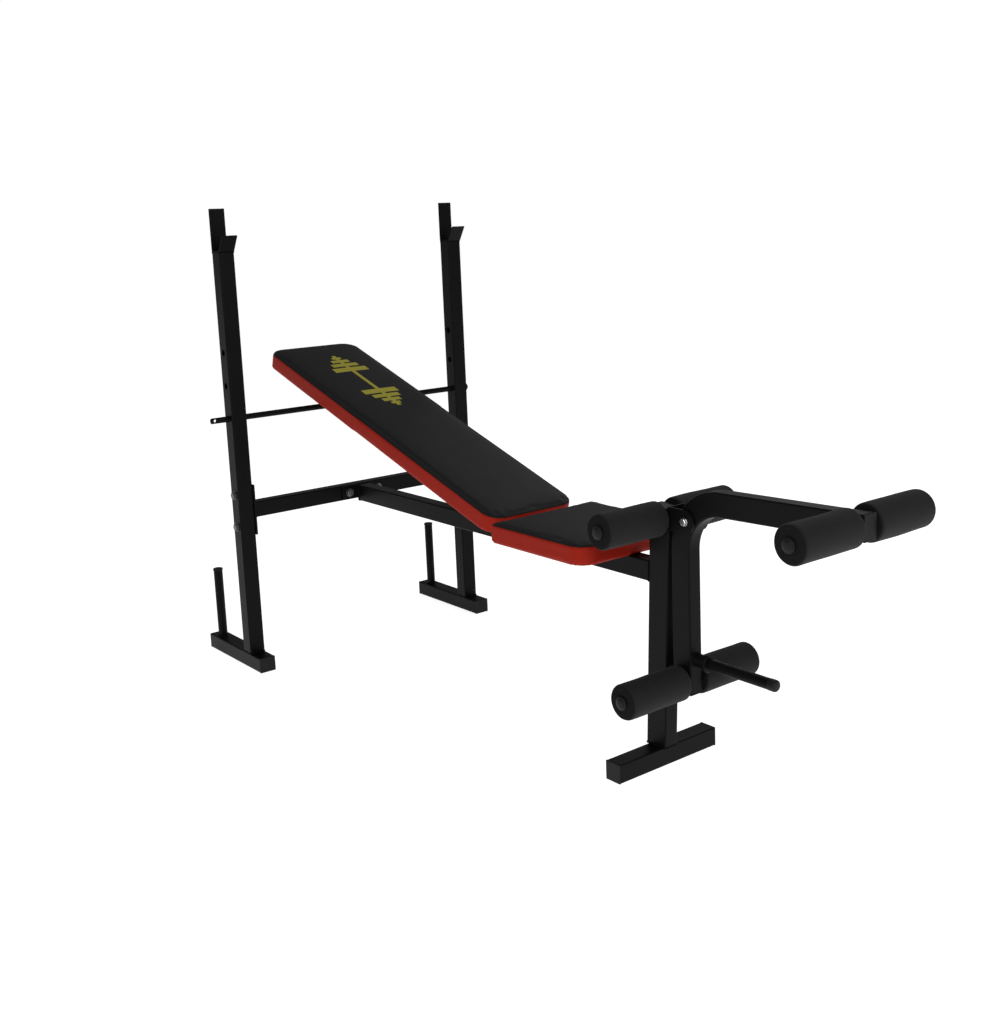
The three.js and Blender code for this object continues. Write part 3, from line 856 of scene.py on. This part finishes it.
def bolt_guide(name, places, direction):
    mesh = bpy.data.meshes.new(name)
    mesh.from_pydata([Vector(p) for p in places], [], [])
    aims = mesh.attributes.new("aim", "FLOAT_VECTOR", "POINT")
    for i, p in enumerate(places):
        aims.data[i].vector = direction[i] if isinstance(direction, list) else direction
    return mesh


places, aims, nodes = [], [], []
for side, s in SIDES:
    for level in ("low", "high"):
        node = f"cross_bolt_{level}_{side}"
        low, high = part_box(node)
        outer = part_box(f"upright_{side}")[1 if s > 0 else 0]
        places.append(((low.x + high.x) / 2, outer.y + s * 0.1 * MM, (low.z + high.z) / 2))
        aims.append((0, -s, 0))
        nodes.append(node)
UPRIGHT_W, END_PLATE_T = 38 * MM, 4.7 * MM
bolts = hexbolt.grown(
    "cross_bolts", bolt_guide("cross_bolts", places, aims), "frame", "zinc",
    sharp=25, Finish=dull_zinc, Grip=UPRIGHT_W + END_PLATE_T,
)
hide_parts(*nodes)

low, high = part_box("flange_bolt_right")
cross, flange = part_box("cross_member"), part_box("beam_flange")
places = [(flange[1].x + 0.1 * MM, s * (-(low.y + high.y) / 2), (low.z + high.z) / 2) for _, s in SIDES]
bolts = hexbolt.grown(
    "flange_bolts", bolt_guide("flange_bolts", places, (-1, 0, 0)), "frame", "zinc",
    sharp=25, Finish=dull_zinc, Grip=flange[1].x - cross[0].x + 0.2 * MM,
)
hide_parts("flange_bolt_right", "flange_bolt_left")

for name, node, radius, corner_radius, nut_height, face in (
    ("pad_hinge_bolt", "hinge_bolt", 4 * MM, 7.5 * MM, 4.2 * MM, 37.7 * MM),
    ("lever_pivot_bolt", "pivot_bolt", 4 * MM, 7.5 * MM, 5 * MM, 20 * MM),
):
    low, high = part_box(node)
    centre = ((low.x + high.x) / 2, -face, (low.z + high.z) / 2)
    bolts = hexbolt.grown(
        name, bolt_guide(name, [centre], (0, 1, 0)), "frame", "zinc",
        sharp=25, Finish=zinc, Grip=2 * face, Shank_Radius=radius, Corner_Radius=corner_radius,
        Washer_Radius=corner_radius * 1.08, Nut_Height=nut_height, Head_Height=-face - low.y - 1.3 * MM,
    )
    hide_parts(node)


# ---- Back rest rails and boards ----
# Two light box tubes turn on the hinge bolt and carry the back rest.
# Each pad is built on a board of raw particle board, seen only from below.
INCLINE = math.radians(18.1)
hinge_low, hinge_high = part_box("hinge_bolt")
HINGE = Vector(((hinge_low.x + hinge_high.x) / 2, 0, (hinge_low.z + hinge_high.z) / 2))
ALONG = Vector((-math.cos(INCLINE), 0, math.sin(INCLINE)))
OVER = Vector((math.sin(INCLINE), 0, math.cos(INCLINE)))


def on_rest(u, v, n):
    """A place on the back rest: up along it, to its left, and above its rails' middle."""
    return HINGE + ALONG * u * MM + Y * v * MM + OVER * n * MM


def on_seat(u, v, n):
    """A place on the seat: forward, to the left, and above the floor."""
    return Vector((u * MM, v * MM, n * MM))


RAIL_START, RAIL_END, RAIL_MID = -10, 900, 27.5
for side, s in SIDES:
    path = (on_rest(RAIL_START, s * RAIL_MID, 0), on_rest(RAIL_END, s * RAIL_MID, 0))
    rail = box_tube(
        f"rest_rail_{side}", path, (0, 1, 0), 20 * MM, 18 * MM, wall=1.5 * MM, corner=2.4 * MM,
    )
    fitted(rail, "back_rest", black_paint, "black_paint", f"back_rail_{side}")

chipboard, shader, here = finish("particle_board", Specular_IOR_Level=0.2)
chips = here.cells(420, out=1)
tone = here.node("ShaderNodeSeparateColor", {0: chips})
here.feed(shader.inputs["Base Color"], tone.tint((0.16, 0.095, 0.045), (0.34, 0.23, 0.125)))
here.feed(shader.inputs["Roughness"], here.noise(300).blend(0.72, 0.92))
here.feed(shader.inputs["Normal"], relief(here, tone * 0.5 + here.noise(800, 3) * 0.5, 0.0003, 0.6))


def rounded_outline(u, half_start, half_end, corners, inset=0.0, steps=10):
    """The cut outline of a pad, in millimetres: its start and end corners rounded, each by its own radius."""
    a, b = u[0] + inset, u[1] - inset
    start, end = (max(c - inset * 0.6, 2) for c in corners)
    points = []
    for cu, cv, c, turn in (
        (b, half_end - inset, end, 0),
        (a, half_start - inset, start, 1),
        (a, inset - half_start, start, 2),
        (b, inset - half_end, end, 3),
    ):
        cu += -c if cu == b else c
        cv += -c if cv > 0 else c
        points += [
            (cu + c * math.cos(t), cv + c * math.sin(t))
            for t in (math.pi / 2 * (turn + i / steps) for i in range(steps + 1))
        ]
    return points


PADS = {
    "back": dict(
        u=(10, 975), half_start=117, half_end=125, corners=(38, 38), low=8.6, high=48.0,
        at=on_rest, body="back_rest", voxel=5.5,
    ),
    "seat": dict(
        u=(-342, -59), half_start=141, half_end=141, corners=(8, 36), low=405.4, high=446.0,
        at=on_seat, body="frame", voxel=5.0,
    ),
}
OUTLINE = ("u", "half_start", "half_end", "corners")
HEM = 17
for part, pad in PADS.items():
    shape = {k: pad[k] for k in OUTLINE}
    rings = [
        [pad["at"](u, v, pad["low"] + n) for u, v in rounded_outline(**shape, inset=HEM + 0.4 + extra)]
        for n, extra in ((0.25, 0.3), (0.4, 0), (0.9, 0))
    ]
    sheet = settle(skinned(f"{part}_board_face", rings))
    fitted(sheet, pad["body"], chipboard, "board", f"{part}_board")


# ---- Pads ----
# A foam block on each board is wrapped in vinyl: black on top, with a red-orange band sewn round the side.
# The cover is pulled tight over the foam and stapled under the board.
# The two colours meet this far, in millimetres, below the top of the pad's side.
BAND = 4.5
# How sharply colours meet, per metre: over 0.4 mm at the band and 0.3 mm round the print.
BAND_SHARPNESS, PRINT_SHARPNESS = 2500, 3300


def cover_finish(name, origin, along, over, seam, motif=None):
    """Black over the seam's height and red-orange below it, with a fine leather grain."""
    material, shader, here = finish(name, Specular_IOR_Level=0.1, Sheen_Weight=0.01, Sheen_Roughness=0.5)
    level = here.along(over) - origin.dot(over)
    below = (level - seam * MM) * -BAND_SHARPNESS
    red = (below + 0.5).spread(0, 1)
    mottle = here.noise(14, 3)
    black_tone = mottle.tint((0.0075, 0.0075, 0.0082), (0.011, 0.011, 0.0117))
    red_tone = mottle.tint((0.235, 0.0075, 0.0018), (0.305, 0.0125, 0.0032))
    colour = red.tint(black_tone, red_tone)
    grain = here.cells(1250, "SMOOTH_F1") * 0.7 + here.noise(520, 3) * 0.5
    rough = mottle.blend(0.5, 0.6) + here.cells(1250) * 0.08
    groove = (abs(level - seam * MM) / (0.9 * MM)).smallest(1.0)
    if motif:
        u = here.along(along) - origin.dot(along) - motif["u"] * MM
        v = here.along(Y) - motif["v"] * MM
        shape = None
        for cu, hu, hv in motif["bars"]:
            block = (abs(abs(u) - cu * MM) - hu * MM).largest(abs(v) - hv * MM)
            shape = block if shape is None else shape.smallest(block)
        ink = ((shape * -PRINT_SHARPNESS) + 0.5).spread(0, 1) * (level > (seam + 0.5) * MM)
        worn = ink * (here.noise(900, 3).spread(0.24, 0.34) * 0.18 + 0.82)
        colour = worn.tint(colour, (0.37, 0.33, 0.035))
        rough = rough - ink * 0.06
        grain = grain * (1.0 - ink * 0.35)
    here.feed(shader.inputs["Base Color"], colour)
    here.feed(shader.inputs["Roughness"], rough)
    here.feed(shader.inputs["Normal"], relief(here, grain * 0.16 + groove, 0.0009, 0.5))
    return material


def inset_depth(points, outline):
    """How far each point lies inside the outline, in millimetres."""
    near = np.full(len(points), 1e9)
    for a, b in zip(outline, outline[1:] + outline[:1]):
        a, b = np.array(a), np.array(b)
        span = b - a
        if span @ span < 1e-9:
            continue
        t = np.clip(((points - a) @ span) / (span @ span), 0, 1)
        near = np.minimum(near, np.linalg.norm(points - a - t[:, None] * span, axis=1))
    return near


# In millimetres: the hem is held and the cover is free above HOLD; the foam swells by EDGE_SWELL at
# its edge and by FULL_SWELL more well inside; the corners' folds and the sewn edge are drawn in.
HOLD = 9
EDGE_SWELL, FULL_SWELL, SWELL_REACH = 0.6, 6.2, 30
FOLDS, FOLD_DEPTH, FOLD_REACH = 26, 0.55, 12
SEAM_DEPTH, SEAM_WIDTH = 0.35, 1.5


def stuffed(name, pad, settle_frames=20):
    """A foam block blown up inside its cover by cloth under pressure, held at its hem."""
    shape = {k: pad[k] for k in OUTLINE}
    low, high = pad["low"], pad["high"] - 1.2
    stack = [(low, 5), (low, 2), (low + 1.5, 0.5), (high - 3, 0.4), (high - 1, 1.2), (high, 3.2)]
    rings = [[Vector((u, v, n)) * MM for u, v in rounded_outline(**shape, inset=inset)] for n, inset in stack]
    block = skinned(name, rings)
    grid = block.modifiers.new("Grid", "REMESH")
    grid.mode, grid.voxel_size = "VOXEL", pad["voxel"] * MM
    made_plain(block)
    count = len(block.data.vertices)
    before = np.zeros(count * 3)
    block.data.vertices.foreach_get("co", before)
    before = before.reshape(-1, 3)
    held = block.vertex_groups.new(name="held")
    for i, p in enumerate(before):
        lift = (p[2] / MM - low) / HOLD
        held.add([i], float(np.clip(1 - lift, 0, 1)), "REPLACE")
    cloth = block.modifiers.new("Cover", "CLOTH")
    cloth.settings.quality = 4
    cloth.settings.mass = 0.3
    cloth.settings.tension_stiffness = cloth.settings.compression_stiffness = 16
    cloth.settings.bending_stiffness = 1.5
    cloth.settings.use_pressure = True
    cloth.settings.uniform_pressure_force = 4
    cloth.settings.effector_weights.gravity = 0
    cloth.settings.vertex_group_mass = "held"
    for step in range(1, settle_frames + 1):
        bpy.context.scene.frame_set(step)
    made_plain(block)
    bpy.context.scene.frame_set(1)
    block.vertex_groups.clear()
    after = np.zeros(count * 3)
    block.data.vertices.foreach_get("co", after)
    move = after.reshape(-1, 3) - before
    flat = np.linalg.norm(move[:, :2], axis=1, keepdims=True)
    move[:, :2] *= np.minimum(1, 0.5 * MM / np.maximum(flat, 1e-9))
    outline = rounded_outline(**shape, inset=1.6)
    depth = inset_depth(before[:, :2] / MM, outline)
    crown = EDGE_SWELL + FULL_SWELL * (1 - np.exp(-depth / SWELL_REACH))
    move[:, 2] = np.clip(move[:, 2], 0, crown * MM)
    block.data.vertices.foreach_set("co", (before + move).ravel())
    fine = block.modifiers.new("Fine", "SUBSURF")
    fine.levels = fine.render_levels = 1
    made_plain(block)
    count = len(block.data.vertices)
    co = np.zeros(count * 3)
    block.data.vertices.foreach_get("co", co)
    co = co.reshape(-1, 3) / MM
    depth = inset_depth(co[:, :2], rounded_outline(**shape, inset=0))
    under = co[:, 2] < low + 2.0
    # the board's recess inside the hem, and the hem's rolled edge
    rolled_edge = np.minimum(co[under, 2], low + np.clip(2.2 - depth[under], 0, 2.2))
    co[under, 2] = np.where(depth[under] > HEM, low + 1.0, rolled_edge)
    # the hem's gathered folds at the corners
    centre = np.array([(pad["u"][0] + pad["u"][1]) / 2, 0])
    rel = co[:, :2] - centre
    reach_u = (pad["u"][1] - pad["u"][0]) / 2 - pad["corners"][1]
    reach_v = pad["half_start"] - pad["corners"][1]
    past_u, past_v = np.abs(rel[:, 0]) - reach_u, np.abs(rel[:, 1]) - reach_v
    at_corner = np.clip(past_u / FOLD_REACH, 0, 1) * np.clip(past_v / FOLD_REACH, 0, 1)
    around = np.arctan2(past_v, past_u)
    pucker = np.sin(around * FOLDS) * at_corner * np.clip(1 - (co[:, 2] - low) / FOLD_REACH, 0, 1)
    outward = rel / np.maximum(np.linalg.norm(rel, axis=1, keepdims=True), 1e-6)
    co[:, :2] += outward * (pucker * FOLD_DEPTH)[:, None]
    # the sewn edge between the top and the band is drawn in a little
    seam = np.exp(-(((co[:, 2] - pad["high"] + BAND) / SEAM_WIDTH) ** 2)) * (depth < 8)
    co[:, :2] -= outward * (seam * SEAM_DEPTH)[:, None]
    points = [pad["at"](*p) for p in co]
    block.data.vertices.foreach_set("co", np.array([tuple(p) for p in points]).ravel())
    work = bmesh.new()
    work.from_mesh(block.data)
    bmesh.ops.recalc_face_normals(work, faces=work.faces)
    work.to_mesh(block.data)
    work.free()
    block.data.shade_smooth()
    return block


BARBELL = dict(u=720, v=12, bars=((80, 80, 5), (70, 12, 48), (99, 9, 37), (123, 8, 25), (143, 6, 13)))
for part, pad in PADS.items():
    on_back = part == "back"
    cushion = stuffed(f"{part}_cushion", pad)
    origin, along, over = (HINGE, ALONG, OVER) if on_back else (Vector((0, 0, 0)), X, Z)
    motif = BARBELL if on_back else None
    cover = cover_finish(f"{part}_cover", origin, along, over, pad["high"] - BAND, motif)
    fitted(cushion, pad["body"], cover, "vinyl", f"{part}_pad")


# ---- Staples and pad screws ----
# Wire staples hold the hem to the underside of each board, one every few centimetres.
# Pan-headed screws go up through the rails and the beam into the boards.
staple = Tree("staple_row", Spacing=31 * MM, Crown=10 * MM, Wire_Radius=0.45 * MM, Finish=None)
line = staple.node("GeometryNodeMeshToCurve", {"Mesh": staple.given("Guide")})
line = staple.node(
    "GeometryNodeResampleCurve", {"Curve": line, "Length": staple.given("Spacing")}, mode="LENGTH",
)
half = staple.given("Crown") / 2
left_end = staple.node("ShaderNodeCombineXYZ", {"X": half * -1})
right_end = staple.node("ShaderNodeCombineXYZ", {"X": half})
crown = staple.node("GeometryNodeCurvePrimitiveLine", {"Start": left_end, "End": right_end})
sizes = {"Resolution": 8, "Radius": staple.given("Wire Radius")}
wire_ring = staple.node("GeometryNodeCurvePrimitiveCircle", sizes)
sweep = {"Curve": crown, "Profile Curve": wire_ring, "Fill Caps": True}
crown = staple.node("GeometryNodeCurveToMesh", sweep)
tangent = staple.node("GeometryNodeInputTangent")
heading = staple.node("FunctionNodeAlignRotationToVector", {"Vector": tangent}, axis="X")
row = {"Points": line, "Instance": crown, "Rotation": heading}
staple.ends(staple.node("GeometryNodeInstanceOnPoints", row))
CLEAR = {"back": 45, "seat": 26}
for part, pad in PADS.items():
    shape = {k: pad[k] for k in OUTLINE}
    half = [(u, v) for u, v in rounded_outline(**shape, inset=11) if v > 0]
    # no staple goes where the rails or the beam cross the hem
    half = [(half[0][0], CLEAR[part]), *half, (half[-1][0], CLEAR[part])]
    lines = [[pad["at"](u, s * v, pad["low"] - 0.05) for u, v in half] for _, s in SIDES]
    guide = guide_lines(f"{part}_staples", [], lines)
    staple.grown(f"{part}_staples", guide, pad["body"], "zinc", Finish=zinc)

screw = Tree("pan_screw", Head_Radius=5.5 * MM, Head_Height=2.6 * MM, Finish=None)
radius, height = screw.given("Head Radius"), screw.given("Head Height")
shape = screw.node("GeometryNodeMeshCylinder", {"Vertices": 28, "Radius": radius, "Depth": height * 0.5})
sizes = {"Vertices": 28, "Radius Bottom": radius, "Radius Top": radius * 0.7, "Depth": height * 0.5}
dome = screw.node("GeometryNodeMeshCone", sizes)
shift = screw.node("ShaderNodeCombineXYZ", {"Z": height * 0.25})
dome = screw.node("GeometryNodeTransform", {"Geometry": dome, "Translation": shift})
aim = screw.node("GeometryNodeInputNamedAttribute", {"Name": "aim"}, data_type="FLOAT_VECTOR")
facing = screw.node("FunctionNodeAlignRotationToVector", {"Vector": aim}, axis="Z")
shape = screw.node("GeometryNodeJoinGeometry", {0: [shape, dome]})
spread = {"Points": screw.given("Guide"), "Instance": shape, "Rotation": facing}
screw.ends(screw.node("GeometryNodeInstanceOnPoints", spread))
REST_SCREWS, SEAT_SCREWS = (95, 360, 620, 862), (-0.285, -0.105)
places = [on_rest(u, s * RAIL_MID, -9.6) for _, s in SIDES for u in REST_SCREWS]
guide = bolt_guide("rest_screws", places, -OVER)
screw.grown("rest_screws", guide, "back_rest", "zinc", sharp=25, Finish=zinc)
under_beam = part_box("main_beam")[0].z - 0.6 * MM
guide = bolt_guide("seat_screws", [(x, 0, under_beam) for x in SEAT_SCREWS], (0, 0, -1))
screw.grown("seat_screws", guide, "frame", "zinc", sharp=25, Finish=zinc, Head_Radius=7 * MM)


# ---- Adjusting rod ----
# A plain steel rod passes through both uprights under the rails and sets the back rest's height.
# Its tip is flattened and drilled for a pin, and a turned head stops it at the left.
rod_low, rod_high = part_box("adjusting_rod")
x, z = (rod_low.x + rod_high.x) / 2, (rod_low.z + rod_high.z) / 2
TIP_SQUEEZE_X, TIP_SQUEEZE_Z = 4.8 * MM, 0.2 * MM
rings = []
for t, squeeze, scale in (
    (0, 1, 0.55), (0.7 * MM, 1, 0.78), (2 * MM, 1, 0.95), (4 * MM, 1, 1), (21 * MM, 1, 1),
    (25 * MM, 0.75, 1), (29 * MM, 0.3, 1), (33 * MM, 0, 1), (rod_high.y - rod_low.y, 0, 1),
):
    half_x, half_z = ROD_R - squeeze * TIP_SQUEEZE_X, ROD_R - squeeze * TIP_SQUEEZE_Z
    bend_r = min(half_x, half_z)
    ring = []
    for px, pz in cross_section(2 * half_x, 2 * half_z, bend_r, 9):
        ring.append((x + px * (1 if scale == 1 else 0.5 + scale / 2), rod_low.y + t, z + pz * scale))
    rings.append(ring)
rod = skinned("adjusting_rod_bar", rings)
bore = [(0, 0), (0, 3.5 * MM), (0.04, 3.5 * MM), (0.04, 0)]
drill = turned("drill", (x - 0.02, rod_low.y + 11 * MM, z), (1, 0, 0), bore, 28)
hole = rod.modifiers.new("Drill", "BOOLEAN")
hole.operation, hole.solver, hole.object = "DIFFERENCE", "EXACT", drill
made_plain(rod)
bpy.data.objects.remove(drill)
fitted(settle(rod), "adjusting_rod", black_paint, "black_paint", "adjusting_rod")
low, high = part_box("rod_head")
length = (high.y - low.y) / MM
profile = in_mm(
    (0, 0), (0, 12), (0.8, 13), (4.6, 13), (5.6, 12), (5.8, 9), (9.6, 9), (11, 7.6), (length, 5),
    (length, 0),
)
knob = turned("adjusting_rod_head", (x, low.y, z), (0, 1, 0), profile)
fitted(settle(knob), "adjusting_rod", black_paint, "black_paint", "rod_head")


# ---- Bounds of the whole object ----
low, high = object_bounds()
